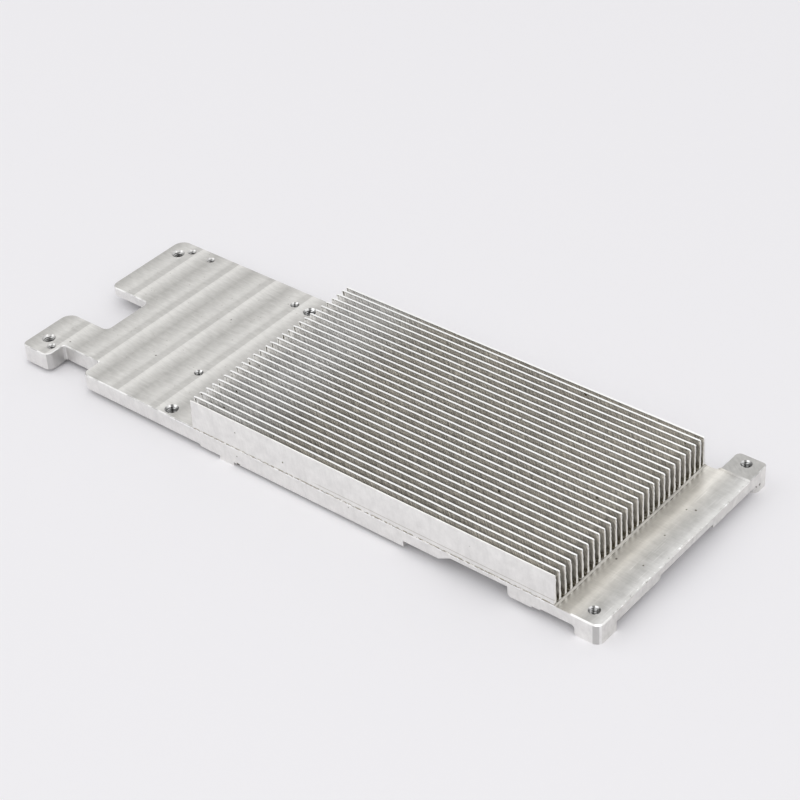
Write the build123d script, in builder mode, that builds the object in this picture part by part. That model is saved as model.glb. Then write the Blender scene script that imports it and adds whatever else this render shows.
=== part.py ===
from build123d import *
from math import radians, tan
import os

# Skived fin heat sink for a low-profile expansion card, cut from one bar of aluminium.
# All sizes are in millimetres. X runs along the fins, Y across them and Z up.
# Places are measured from the tab end, the near side and the surface that it stands on.
# The finished part has its origin under the middle of its outline, on that surface.

# Plate outline
plate_width = 56.2
fin_start = 57.8
fin_length = 102.0
end_strip = 11.2
plate_length = fin_start + fin_length + end_strip
notch_depth = 13.2
notch_width = 14.3
tab_length = 9.0
tab_width = 16.1
neck_length = 12.2
neck_inset = 5.5
ear_width = 7.6
ear_reach = 7.7

# Corner radii of the outline
outer_corner = 3.0
tab_corner = 1.4
arm_corner = 2.0
tab_heel = 1.8
neck_fillet = 0.9
neck_corner = 0.7
plate_corner = 1.6
strip_corner = 2.0
ear_corner = 1.4
ear_end_corner = 1.1
ear_fillet = 1.5
notch_fillet = 1.4

# Heights
stand_height = 5.6
strip_drop = 0.35
edge_break = 0.2
step_slope = 45

# Fins
fin_pitch = 2.0
fin_thickness = 0.75
fin_slant = 0.24
fin_height = 7.75
fin_root_radius = 0.3
fin_end_radius = 0.35
fin_step = 0.1
ear_step = 0.3

# The first and last fins are thin, with their outer faces milled on a slant. At least outer_gap is
# left beside them, and as many full fins as there is room for stand between them.
near_fin_root = 0.8
near_fin_slant = 0.5
near_fin_drop = 0.35
far_fin_root = 1.0
far_fin_slant = 0.45
outer_gap = 0.6

# Thickness of the plate over each part of the underside
contact_thickness = 4.6
left_thickness = 4.1
arm_thickness = 2.4
pocket_thickness = 3.05
web_thickness = 1.35
pad_thickness = 3.9
lip_thickness = 3.5
strip_thickness = 3.1
strip_relief_thickness = 2.1

# Places along X where the underside changes
left_end = 59.5
pocket_start = 119.8
web_start = 132.8
web_ramp = 3.3
web_end = 147.8
pad_end = 154.0
lip_end = 156.2
arm_pocket_end = 46.0

# Places across Y of the underside pockets
arm_pocket_start = 21.5
strip_relief_start = 22.0
strip_relief_width = 20.0
strip_relief_reach = 8.0
pocket_corner = 3.0

# Feet, which the part stands on, and the pad left under the screw of the arm
side_foot_start = 65.6
side_foot_length = 4.4
side_foot_width = 8.0
corner_foot_length = 6.2
corner_foot_width = 6.1
ear_foot_width = 4.7
foot_corner = 1.5
foot_edge_radius = 0.6
foot_fillet = 0.8
pad_edge_radius = 0.9
arm_pad_length = 9.0
arm_pad_width = 10.5

# Screw holes: tapped M3, M2.5 and M2, drilled at the core size with a countersunk mouth
m3_core = 2.5
m3_mouth = 3.4
m25_core = 2.05
m25_mouth = 2.7
m2_core = 1.6
m2_mouth = 2.3
mouth_angle = 90

end_screw_x = 3.9
tab_screw_y = 5.4
arm_screw_edge = 5.4
near_screw_x = 48.8
near_screw_y = 2.3
far_screw_x = 49.3
far_screw_edge = 5.8
strip_screw_edge = 3.9
strip_screw_y = 3.8
ear_screw_edge = 2.7
tab_pin_x = 6.9
tab_pin_y = 3.4
arm_pin_x = 6.4
arm_pin_spacing = 6.6
arm_pin_edge = 2.8
inner_pin_x = 44.2
near_pin_y = 16.2
far_pin_edge = 5.6

# Chamfer round the near corner of the end strip
lead_chamfer = 0.3
lead_start = 4.0
lead_end = 2.5

overall_width = plate_width + ear_reach
fin_end = fin_start + fin_length
arm_edge = tab_width + notch_width
neck_end = tab_length + neck_length
ear_start = plate_length - ear_width
foot_edge = plate_length - corner_foot_length
strip_top = stand_height - strip_drop
step_reach = strip_drop * tan(radians(step_slope))

datum = Plane(origin=(-plate_length / 2, -overall_width / 2, 0))

# Corners of the outline, each with its radius, counter-clockwise from the near end of the tab
outline = [
    ((0, 0), tab_corner),
    ((tab_length, 0), tab_heel),
    ((tab_length, neck_inset), neck_fillet),
    ((neck_end, neck_inset), neck_corner),
    ((neck_end, 0), plate_corner),
    ((plate_length, 0), strip_corner),
    ((plate_length, overall_width), ear_end_corner),
    ((ear_start, overall_width), ear_corner),
    ((ear_start, plate_width), ear_fillet),
    ((0, plate_width), outer_corner),
    ((0, arm_edge), arm_corner),
    ((notch_depth, arm_edge), notch_fillet),
    ((notch_depth, tab_width), notch_fillet),
    ((0, tab_width), outer_corner),
]


# Feet left at full depth and pads left at the depth of the contact face: start and end along X,
# start and end across Y. Those at the edge of the plate run out past it.
run_out = 3 * pocket_corner
feet = [
    (side_foot_start, side_foot_start + side_foot_length, -run_out, side_foot_width),
    (
        side_foot_start,
        side_foot_start + side_foot_length,
        plate_width - side_foot_width,
        plate_width + run_out,
    ),
    (foot_edge, plate_length + run_out, -run_out, corner_foot_width),
    (ear_start - run_out, plate_length, overall_width - ear_foot_width, overall_width + run_out),
]
pads = [
    (-run_out, tab_length, -run_out, tab_width + notch_width / 2),
    (-run_out, arm_pad_length, plate_width - arm_pad_width, plate_width + run_out),
]

# Shallower steps of the underside: start and end along X, start and end across Y, plate left
steps = [
    (-run_out, left_end, -run_out, plate_width + run_out, left_thickness),
    (-run_out, arm_pocket_end, arm_pocket_start, plate_width + run_out, arm_thickness),
    (pocket_start, web_end, -run_out, plate_width + run_out, pocket_thickness),
    (web_start, web_end, -run_out, plate_width + run_out, web_thickness),
    (web_end, plate_length + run_out, -run_out, overall_width + run_out, pad_thickness),
    (pad_end, plate_length + run_out, -run_out, overall_width + run_out, lip_thickness),
    (lip_end, plate_length + run_out, -run_out, overall_width + run_out, strip_thickness),
    (
        plate_length - strip_relief_reach,
        plate_length + run_out,
        strip_relief_start,
        strip_relief_start + strip_relief_width,
        strip_relief_thickness,
    ),
]

# Rounded edges that run across the underside: place along X and Z, which side of it the centre
# of the arc is on, radius, how far the rounding goes across Y, and whether it adds or removes
rounded_edges = [
    (web_end, stand_height - pad_thickness, 1, pad_edge_radius, plate_width, Mode.SUBTRACT),
    (foot_edge, 0, 1, foot_edge_radius, corner_foot_width, Mode.SUBTRACT),
    (
        foot_edge,
        stand_height - strip_thickness,
        -1,
        foot_fillet,
        corner_foot_width - foot_corner,
        Mode.ADD,
    ),
]

with BuildSketch() as foot_shapes:
    for x_start, x_end, y_start, y_end in feet:
        with Locations(((x_start + x_end) / 2, (y_start + y_end) / 2)):
            RectangleRounded(x_end - x_start, y_end - y_start, foot_corner)
with BuildSketch() as kept_shapes:
    add(foot_shapes.sketch)
    for x_start, x_end, y_start, y_end in pads:
        with Locations(((x_start + x_end) / 2, (y_start + y_end) / 2)):
            RectangleRounded(x_end - x_start, y_end - y_start, foot_corner)

# Plane of the near side, and of the cross-section of the fins at their start
side_plane = Plane(origin=datum.origin, x_dir=(1, 0, 0), z_dir=(0, -1, 0))
fin_plane = Plane(
    origin=datum.origin + Vector(fin_start, 0, stand_height),
    x_dir=(0, 1, 0),
    z_dir=(1, 0, 0),
)
comb_width = plate_width - 2 * (max(near_fin_root, far_fin_root) + outer_gap)
fin_count = int((comb_width - fin_thickness) / fin_pitch) + 1
first_fin = (plate_width - (fin_count - 1) * fin_pitch) / 2
last_fin = plate_width - first_fin
near_gap = first_fin - fin_thickness / 2 - near_fin_root
far_gap = plate_width - far_fin_root - last_fin - fin_thickness / 2

with BuildPart(datum) as heat_sink:
    # Plate, with its top edge broken all round
    with BuildSketch(datum):
        with BuildLine():
            FilletPolyline(*[corner for corner, _ in outline], radius=[r for _, r in outline], close=True)
        make_face()
    extrude(amount=stand_height)
    chamfer(heat_sink.faces().sort_by(Axis.Z)[-1].outer_wire().edges(), edge_break)

    # Underside, milled away round the feet to the contact face, then in shallower steps
    with BuildSketch(datum):
        with Locations((plate_length / 2, overall_width / 2)):
            Rectangle(plate_length + run_out, overall_width + run_out)
        add(foot_shapes.sketch, mode=Mode.SUBTRACT)
    extrude(amount=stand_height - contact_thickness, mode=Mode.SUBTRACT)
    for x_start, x_end, y_start, y_end, thickness in steps:
        with BuildSketch(datum):
            with Locations(((x_start + x_end) / 2, (y_start + y_end) / 2)):
                RectangleRounded(x_end - x_start, y_end - y_start, pocket_corner)
            add(kept_shapes.sketch, mode=Mode.SUBTRACT)
        extrude(amount=stand_height - thickness, mode=Mode.SUBTRACT)

    # Ramp up from the pocket to the thin web
    with BuildSketch(side_plane):
        with BuildLine():
            Polyline(
                (web_start - web_ramp, stand_height - pocket_thickness),
                (web_start, stand_height - pocket_thickness),
                (web_start, stand_height - web_thickness),
                close=True,
            )
        make_face()
    extrude(amount=plate_width + run_out, both=True, mode=Mode.SUBTRACT)

    # Rounded edges of the pad and the corner foot
    for x, z, side, radius, reach, mode in rounded_edges:
        with BuildSketch(side_plane):
            with Locations((x + side * radius / 2, z + side * radius / 2)):
                Rectangle(radius, radius)
            with Locations((x + side * radius, z + side * radius)):
                Circle(radius, mode=Mode.SUBTRACT)
        extrude(amount=-reach, mode=mode)

    # End strip, milled a little below the foot of the fins and the ear, with a sloped step
    with BuildSketch(datum.offset(strip_top)):
        with Locations((fin_end + fin_step + step_reach, -run_out)):
            Rectangle(plate_length, plate_width + run_out + ear_step, align=(Align.MIN, Align.MIN))
    extrude(amount=2 * strip_drop, taper=-step_slope, mode=Mode.SUBTRACT)

    # Fins, shaved up from the bar and joined to the plate by rounded roots. Each leans in on its
    # far side towards the top.
    with BuildSketch(fin_plane):
        with BuildLine():
            Polyline(
                (0, 0),
                (plate_width, 0),
                (plate_width - far_fin_slant, fin_height),
                (near_fin_root + near_gap / 2, fin_height),
                (near_fin_root + near_gap / 2, fin_height - near_fin_drop),
                (near_fin_slant, fin_height - near_fin_drop),
                close=True,
            )
        make_face()
        for centre, count, gap, slant in (
            (plate_width / 2, fin_count - 1, fin_pitch - fin_thickness, fin_slant),
            (near_fin_root + near_gap / 2, 1, near_gap, 0),
            (plate_width - far_fin_root - far_gap / 2, 1, far_gap, fin_slant),
        ):
            with BuildSketch(mode=Mode.PRIVATE) as slot:
                with BuildLine():
                    Polyline(
                        (-gap / 2, 0),
                        (gap / 2, 0),
                        (gap / 2, 2 * fin_height),
                        (-gap / 2 - 2 * slant, 2 * fin_height),
                        close=True,
                    )
                make_face()
                fillet(slot.vertices().group_by(Axis.Y)[0], min(fin_root_radius, 0.4 * gap))
            with Locations((centre, 0)):
                with GridLocations(fin_pitch, 0, count, 1):
                    add(slot.sketch, mode=Mode.SUBTRACT)
    extrude(amount=fin_length)
    fin_end_x = datum.origin.X + fin_end
    end_edges = heat_sink.edges().filter_by(Axis.Y).filter_by_position(Axis.X, fin_end_x - 0.01, fin_end_x + 0.01)
    fillet(end_edges.group_by(Axis.Z)[-1], fin_end_radius)

    # Chamfer round the near corner of the strip, followed by the cutter in one pass
    with BuildLine(datum.offset(strip_top)) as lead_path:
        Polyline((fin_end + lead_start, 0), (plate_length - strip_corner, 0))
        RadiusArc((plate_length - strip_corner, 0), (plate_length, strip_corner), -strip_corner)
        Line((plate_length, strip_corner), (plate_length, strip_corner + lead_end))
    with BuildSketch(Plane(lead_path.line @ 0, x_dir=(0, 1, 0), z_dir=(1, 0, 0))):
        with BuildLine():
            Polyline((0, -lead_chamfer), (lead_chamfer, 0), (0, lead_chamfer), (-lead_chamfer, 0), close=True)
        make_face()
    sweep(path=lead_path.line, mode=Mode.SUBTRACT)

    # Tapped holes
    m3_holes = [
        (end_screw_x, tab_screw_y),
        (end_screw_x, plate_width - arm_screw_edge),
        (near_screw_x, near_screw_y),
        (far_screw_x, plate_width - far_screw_edge),
    ]
    m25_holes = [
        ((plate_length - strip_screw_edge, strip_screw_y), strip_top),
        ((plate_length - ear_width / 2, overall_width - ear_screw_edge), stand_height),
    ]
    m2_holes = [
        (tab_pin_x, tab_pin_y),
        (arm_pin_x, plate_width - arm_pin_edge),
        (arm_pin_x + arm_pin_spacing, plate_width - arm_pin_edge),
        (inner_pin_x, near_pin_y),
        (inner_pin_x, plate_width - far_pin_edge),
    ]
    with Locations(*[(x, y, stand_height) for x, y in m3_holes]):
        CounterSinkHole(m3_core / 2, m3_mouth / 2, counter_sink_angle=mouth_angle)
    with Locations(*[(x, y, level) for (x, y), level in m25_holes]):
        CounterSinkHole(m25_core / 2, m25_mouth / 2, counter_sink_angle=mouth_angle)
    with Locations(*[(x, y, stand_height) for x, y in m2_holes]):
        CounterSinkHole(m2_core / 2, m2_mouth / 2, counter_sink_angle=mouth_angle)

heat_sink.part.label = "skived_heat_sink"

os.makedirs("parts", exist_ok=True)
export_step(heat_sink.part, "parts/skived_heat_sink.step")
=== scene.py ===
import logging
import math
import random
from dataclasses import dataclass
from enum import Enum
from functools import reduce
from typing import Callable, Iterable, Sequence

import bmesh
import bpy
from mathutils import Matrix, Vector, noise


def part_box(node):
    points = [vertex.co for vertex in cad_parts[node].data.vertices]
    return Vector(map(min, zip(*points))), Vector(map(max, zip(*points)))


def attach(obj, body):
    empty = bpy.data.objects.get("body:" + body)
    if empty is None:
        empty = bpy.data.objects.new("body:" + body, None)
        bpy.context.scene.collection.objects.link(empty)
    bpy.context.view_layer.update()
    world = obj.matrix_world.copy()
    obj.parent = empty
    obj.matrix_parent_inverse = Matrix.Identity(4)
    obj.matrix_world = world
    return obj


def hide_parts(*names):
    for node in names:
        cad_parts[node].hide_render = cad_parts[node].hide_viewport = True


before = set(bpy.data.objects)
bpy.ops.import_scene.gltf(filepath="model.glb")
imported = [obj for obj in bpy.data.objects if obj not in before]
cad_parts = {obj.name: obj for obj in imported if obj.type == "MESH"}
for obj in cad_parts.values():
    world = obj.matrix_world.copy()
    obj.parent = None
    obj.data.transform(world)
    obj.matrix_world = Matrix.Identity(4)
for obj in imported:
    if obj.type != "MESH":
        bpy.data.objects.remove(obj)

log = logging.getLogger("heat_sink")

Piece = bpy.types.Object
Socket = bpy.types.NodeSocket
Triple = tuple[float, float, float]
Colour = tuple[float, float, float, float]
Span = tuple[float, ...]
Spots = Sequence[tuple[float, float, float, float]]
Stops = Sequence[tuple[float, float]]
Test = Callable[[Vector, Vector], bool]

MM = 0.001
TOUCH = 1e-6
AXIAL = 0.9
NODE = "skived_heat_sink"
BODY = "root"
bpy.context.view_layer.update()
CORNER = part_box(NODE)[0]
UP = Vector((0, 0, 1))


def at(x: float, y: float, z: float) -> Vector:
    """Turns a place on the drawing into the frame's metres.

    Args:
        x: Distance along the fins from the tab end, in mm.
        y: Distance across the plate from its near side, in mm.
        z: Height over the surface that the part stands on, in mm.

    Returns:
        The place in the shared frame.
    """
    return CORNER + Vector((x, y, z)) * MM


def along(x: float) -> float:
    """Turns a distance along the fins on the drawing into the frame's X."""
    return at(x, 0, 0).x


def across(y: float) -> float:
    """Turns a distance across the plate on the drawing into the frame's Y."""
    return at(0, y, 0).y


def above(z: float) -> float:
    """Turns a height on the drawing into the frame's Z."""
    return at(0, 0, z).z


class Tap(Enum):
    """Sizes of tapped hole: core, mouth and thread pitch in mm."""

    M3 = (2.5, 3.4, 0.5)
    M25 = (2.05, 2.7, 0.45)
    M2 = (1.6, 2.3, 0.4)

    @property
    def core(self) -> float:
        """Diameter of the bore."""
        return self.value[0]

    @property
    def mouth(self) -> float:
        """Diameter of the countersunk mouth."""
        return self.value[1]

    @property
    def pitch(self) -> float:
        """Rise of the thread in one turn."""
        return self.value[2]


@dataclass(frozen=True)
class Hole:
    """A tapped hole: its size, and its place and top height on the drawing in mm."""

    name: str
    tap: Tap
    x: float
    y: float
    top: float


@dataclass(frozen=True)
class Drawing:
    """Driving sizes of the part in mm, the same as in its CAD source."""

    plate_length: float = 171.0
    plate_width: float = 56.2
    stand_height: float = 5.6
    strip_top: float = 5.25
    tab_length: float = 9.0
    neck_fillet: float = 0.9
    strip_corner: float = 2.2
    fin_start: float = 57.8
    fin_length: float = 102.0
    fin_step: float = 0.1
    ear_step: float = 0.3
    fin_pitch: float = 2.0
    fin_count: int = 27
    fin_thickness: float = 0.75
    fin_slant: float = 0.24
    fin_height: float = 7.75
    fin_root_radius: float = 0.3
    fin_end_radius: float = 0.35
    near_fin_root: float = 0.8
    near_fin_slant: float = 0.5
    near_fin_drop: float = 0.35
    far_fin_root: float = 1.0
    far_fin_slant: float = 0.45
    holes: tuple[Hole, ...] = (
        Hole("tab_screw", Tap.M3, 3.9, 5.4, 5.6),
        Hole("arm_screw", Tap.M3, 3.9, 50.8, 5.6),
        Hole("near_screw", Tap.M3, 48.8, 2.3, 5.6),
        Hole("far_screw", Tap.M3, 49.3, 50.4, 5.6),
        Hole("strip_screw", Tap.M25, 167.1, 3.8, 5.25),
        Hole("ear_screw", Tap.M25, 167.2, 61.2, 5.6),
        Hole("tab_pin", Tap.M2, 6.9, 3.4, 5.6),
        Hole("arm_outer_pin", Tap.M2, 6.4, 53.4, 5.6),
        Hole("arm_inner_pin", Tap.M2, 13.0, 53.4, 5.6),
        Hole("near_pin", Tap.M2, 44.2, 16.2, 5.6),
        Hole("far_pin", Tap.M2, 44.2, 50.6, 5.6),
    )

    @property
    def fin_end(self) -> float:
        """Where the fins end along the plate."""
        return self.fin_start + self.fin_length

    @property
    def fin_top(self) -> float:
        """Height of the full fins' tops."""
        return self.stand_height + self.fin_height

    @property
    def strip_start(self) -> float:
        """Where the low strip begins along the plate."""
        return self.fin_end + self.fin_step

    @property
    def first_fin(self) -> float:
        """Middle of the first full fin across the plate."""
        return (self.plate_width - (self.fin_count - 1) * self.fin_pitch) / 2


class Workpiece:
    """A mesh object held in edit mode while operators shape it."""

    def __init__(self, piece: Piece) -> None:
        """Takes the object that is to be shaped."""
        self.piece = piece

    def __enter__(self) -> "Workpiece":
        """Opens edit mode with nothing selected.

        Returns:
            The workpiece.
        """
        bpy.ops.object.select_all(action="DESELECT")
        bpy.context.view_layer.objects.active = self.piece
        self.piece.select_set(True)
        bpy.ops.object.mode_set(mode="EDIT")
        bpy.ops.mesh.select_mode(type="VERT")
        bpy.ops.mesh.select_all(action="DESELECT")
        return self

    def __exit__(self, *_: object) -> None:
        """Goes back to object mode."""
        bpy.ops.object.mode_set(mode="OBJECT")
        self.piece.select_set(False)

    def everything(self) -> None:
        """Selects the whole mesh."""
        bpy.ops.mesh.select_all(action="SELECT")

    def pick(self, kind: str, test: Callable[[object], bool]) -> None:
        """Selects parts of the mesh in code.

        Args:
            kind: EDGE or FACE.
            test: Says whether an edge or face is selected.
        """
        bpy.ops.mesh.select_mode(type=kind)
        bpy.ops.mesh.select_all(action="DESELECT")
        mesh = bmesh.from_edit_mesh(self.piece.data)
        for item in mesh.edges if kind == "EDGE" else mesh.faces:
            if test(item):
                item.select_set(True)
        mesh.select_flush_mode()
        bmesh.update_edit_mesh(self.piece.data)

    def edges(self, test: Test) -> None:
        """Selects edges.

        Args:
            test: Takes an edge's middle and its unit direction.
        """

        def passes(edge: bmesh.types.BMEdge) -> bool:
            """Gives an edge's middle and direction to the test."""
            a, b = (corner.co for corner in edge.verts)
            return test((a + b) / 2, (b - a).normalized())

        self.pick("EDGE", passes)

    def faces(self, test: Test) -> None:
        """Selects the faces whose centre and normal pass a test."""
        self.pick("FACE", lambda face: test(face.calc_center_median(), face.normal))

    def move(self, y: float) -> None:
        """Moves what is selected across the plate, in metres."""
        bpy.ops.transform.translate(value=(0, y, 0))

    def pull(self, z: float) -> None:
        """Extrudes what is selected upwards, in metres."""
        bpy.ops.mesh.extrude_region_move(TRANSFORM_OT_translate={"value": (0, 0, z)})

    def bevel(self, width: float, segments: int) -> None:
        """Rounds the selected edges.

        Args:
            width: How far back the rounding starts, in mm.
            segments: How many faces it has.
        """
        bpy.ops.mesh.bevel(offset=width * MM, segments=segments, profile=0.5, affect="EDGES")

    def cut(self, place: Vector, facing: Vector, drop: bool = False) -> None:
        """Cuts what is selected with a plane.

        Args:
            place: A point on the plane.
            facing: The plane's normal.
            drop: Whether what lies in front of the plane is removed and the cut is closed.
        """
        bpy.ops.mesh.bisect(
            plane_co=place, plane_no=facing, use_fill=drop, clear_outer=drop, threshold=1e-8
        )

    def slice_along(self, places: Iterable[float]) -> None:
        """Cuts the whole mesh at several places along X.

        Args:
            places: Where the cuts lie, in metres.
        """
        facing = Vector((1, 0, 0))
        for place in places:
            self.everything()
            self.cut(facing * place, facing)


def act(piece: Piece, operator: Callable[..., object], **settings: object) -> None:
    """Runs an operator on one piece alone.

    Args:
        piece: The piece.
        operator: The object operator.
        **settings: The operator's settings.
    """
    bpy.ops.object.select_all(action="DESELECT")
    bpy.context.view_layer.objects.active = piece
    piece.select_set(True)
    operator(**settings)
    piece.select_set(False)


def settle(piece: Piece) -> None:
    """Puts an object's place, turn and scale into its mesh."""
    act(piece, bpy.ops.object.transform_apply, location=True, rotation=True, scale=True)


def smooth(piece: Piece, angle: float) -> None:
    """Shades a piece smooth across edges flatter than an angle in degrees."""
    act(piece, bpy.ops.object.shade_smooth_by_angle, angle=math.radians(angle))


def apply_modifier(piece: Piece, kind: str, **settings: object) -> None:
    """Adds a modifier to a piece and applies it.

    Args:
        piece: The piece that is changed.
        kind: The modifier's type.
        **settings: Its settings by name.
    """
    modifier = piece.modifiers.new(kind.title(), kind)
    for name, value in settings.items():
        setattr(modifier, name, value)
    act(piece, bpy.ops.object.modifier_apply, modifier=modifier.name)


def start_block(name: str, low: Vector, high: Vector) -> Piece:
    """Adds a block between two corners, as stock for a piece.

    Args:
        name: Name of the piece that it becomes.
        low: Lowest corner.
        high: Highest corner.

    Returns:
        The block, with its place in its mesh.
    """
    bpy.ops.object.select_all(action="DESELECT")
    bpy.ops.mesh.primitive_cube_add(size=1, location=(low + high) / 2)
    piece = bpy.context.object
    piece.name = piece.data.name = name
    piece.scale = high - low
    settle(piece)
    return piece


def duplicate(piece: Piece, name: str) -> Piece:
    """Copies a piece with a mesh of its own.

    Args:
        piece: The piece that is copied.
        name: Name of the copy.

    Returns:
        The copy, linked to the scene.
    """
    copy = bpy.data.objects.new(name, piece.data.copy())
    copy.data.name = name
    bpy.context.scene.collection.objects.link(copy)
    return copy


def discard(piece: Piece) -> None:
    """Removes a pattern piece once its copies are made.

    Args:
        piece: The pattern.
    """
    mesh = piece.data
    bpy.data.objects.remove(piece)
    bpy.data.meshes.remove(mesh)


def hand_over(piece: Piece) -> None:
    """Lets a finished piece ride on the part's body.

    Args:
        piece: The piece.
    """
    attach(piece, BODY)
    log.info("%s: %d faces", piece.name, len(piece.data.polygons))


@dataclass(frozen=True)
class Tone:
    """A grey of bare metal with a slight tint, as it shows in even light."""

    level: float
    warmth: float = 0.0

    def rgba(self) -> Colour:
        """Gives red, green, blue and alpha."""
        red, blue = 1 + self.warmth * 0.5, 1 - self.warmth
        return (self.level * red, self.level, self.level * blue, 1.0)


@dataclass(frozen=True)
class Cloud:
    """A noise.

    It has its scale per metre, in all or along each axis, how many octaves it has and how strong
    the finer ones are, and how far it swings what it is added to.
    """

    scale: float | Triple
    detail: float = 2.0
    grit: float = 0.5
    reach: float = 1.0


@dataclass(frozen=True)
class Streaks:
    """Streaks: scale along each axis per metre, hardness from 0 to 1, and how far they swing."""

    scale: Triple
    sharpness: float
    reach: float = 1.0


@dataclass(frozen=True)
class Dirt:
    """Scattered specks.

    It has the number of cells in a metre, the specks' radius as a share of a cell, the share of
    the cells that have one, the specks' tone, and how much they hide of what they lie on.
    """

    density: float
    size: float
    share: float
    tone: Tone
    cover: float = 1.0


@dataclass(frozen=True)
class Line:
    """A broken line along the fins.

    It has its height and thickness in mm, where it begins as a share of the fins' length, how
    many noise cells there are in a metre, how much of it is there, its tone and its cover.
    """

    height: float
    thickness: float
    begin: float
    pieces: float
    share: float
    tone: Tone
    cover: float = 1.0


class Bench:
    """Adds nodes to one node tree and joins them."""

    def __init__(self, tree: bpy.types.NodeTree) -> None:
        """Takes the tree that the nodes go into."""
        self.tree = tree

    def node(self, kind: str, **settings: object) -> bpy.types.Node:
        """Adds a node.

        Args:
            kind: The node's type name.
            **settings: Its settings by name.

        Returns:
            The new node.
        """
        made = self.tree.nodes.new(kind)
        for name, value in settings.items():
            setattr(made, name, value)
        return made

    def feed(self, socket: Socket, value: object) -> None:
        """Joins a socket to an output, or sets it to a tone or a plain value.

        Args:
            socket: The socket that is fed.
            value: The output, tone or value.
        """
        if isinstance(value, Socket):
            self.tree.links.new(value, socket)
        else:
            socket.default_value = value.rgba() if isinstance(value, Tone) else value

    def run(self, kind: str, *values: object, **settings: object) -> Socket:
        """Adds a node with its inputs filled in order.

        Args:
            kind: The node's type name.
            *values: What goes into its first inputs.
            **settings: Its settings by name.

        Returns:
            Its first output.
        """
        made = self.node(kind, **settings)
        for socket, value in zip(made.inputs, values):
            self.feed(socket, value)
        return made.outputs[0]

    def math(self, operation: str, *values: object) -> Socket:
        """Adds a Math node with up to three values, and gives its result."""
        return self.run("ShaderNodeMath", *values, operation=operation)

    def plus(self, first: object, *others: object) -> Socket:
        """Adds values up."""
        return reduce(lambda total, other: self.math("ADD", total, other), others, first)

    def times(self, first: object, *others: object) -> Socket:
        """Multiplies values."""
        return reduce(lambda total, other: self.math("MULTIPLY", total, other), others, first)

    def less(self, first: object, other: object) -> Socket:
        """Takes the second value from the first."""
        return self.math("SUBTRACT", first, other)

    def over(self, first: object, other: object) -> Socket:
        """Divides the first value by the second."""
        return self.math("DIVIDE", first, other)

    def clamp(self, value: object) -> Socket:
        """Holds a value between 0 and 1."""
        return self.math("MINIMUM", self.math("MAXIMUM", value, 0.0), 1.0)

    def swing(self, value: object, reach: float, middle: float = 0.0) -> Socket:
        """Turns a value from 0 to 1 into a swing about a middle, half the reach to each side."""
        return self.math("MULTIPLY_ADD", value, reach, middle - reach / 2)

    def span(
        self, value: object, low: float, high: float, to_low: float = 0.0, to_high: float = 1.0
    ) -> Socket:
        """Maps a range of a value onto another, clamped and eased at both ends."""
        ease = {"interpolation_type": "SMOOTHSTEP"}
        return self.run("ShaderNodeMapRange", value, low, high, to_low, to_high, **ease)

    def blend(self, factor: object, a: object, b: object, mode: str = "MIX") -> Socket:
        """Mixes two colours.

        Args:
            factor: How much of the second colour there is.
            a: First tone or output.
            b: Second tone or output.
            mode: How they are mixed.

        Returns:
            The mixed colour's socket.
        """
        made = self.node("ShaderNodeMix", data_type="RGBA", blend_type=mode)
        for place, value in ((0, factor), (6, a), (7, b)):
            self.feed(made.inputs[place], value)
        return made.outputs[2]

    def ramp(self, value: object, stops: Stops) -> Socket:
        """Turns a value from 0 to 1 into a grey level through a ramp.

        Args:
            value: The value or output.
            stops: Pairs of place and level.

        Returns:
            The level's socket.
        """
        made = self.node("ShaderNodeValToRGB")
        while len(made.color_ramp.elements) < len(stops):
            made.color_ramp.elements.new(0.5)
        for element, (place, level) in zip(made.color_ramp.elements, stops):
            element.position = place
            element.color = (level, level, level, 1)
        self.feed(made.inputs[0], value)
        return made.outputs[0]

    def axes(self, vector: object) -> tuple[Socket, Socket, Socket]:
        """Splits coordinates into X, Y and Z."""
        return tuple(self.run("ShaderNodeSeparateXYZ", vector).node.outputs)

    def turned(self, vector: object, angle: float, about: str = "Z") -> Socket:
        """Turns coordinates about an axis.

        Args:
            vector: The coordinates.
            angle: The angle in degrees.
            about: The axis, X, Y or Z.

        Returns:
            The turned coordinates' socket.
        """
        spin = self.node("ShaderNodeVectorRotate", rotation_type=about + "_AXIS")
        self.feed(spin.inputs["Vector"], vector)
        self.feed(spin.inputs["Angle"], math.radians(angle))
        return spin.outputs[0]

    def stretched(self, vector: object, scale: object) -> Socket:
        """Scales coordinates along each axis."""
        return self.run("ShaderNodeVectorMath", vector, scale, operation="MULTIPLY")

    def noise(self, vector: object, cloud: Cloud) -> Socket:
        """Adds a noise texture.

        Args:
            vector: Its coordinates.
            cloud: Its scale and octaves.

        Returns:
            The value's socket, around 0.5.
        """
        scale = cloud.scale
        if isinstance(scale, tuple):
            vector, scale = self.stretched(vector, scale), 1.0
        made = self.node("ShaderNodeTexNoise")
        values = {"Vector": vector, "Scale": scale, "Detail": cloud.detail, "Roughness": cloud.grit}
        for name, value in values.items():
            self.feed(made.inputs[name], value)
        return made.outputs[0]

    def stir(self, vector: object, cloud: Cloud) -> Socket:
        """Adds a noise that swings about 0 by its own reach."""
        return self.swing(self.noise(vector, cloud), cloud.reach)


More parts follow.
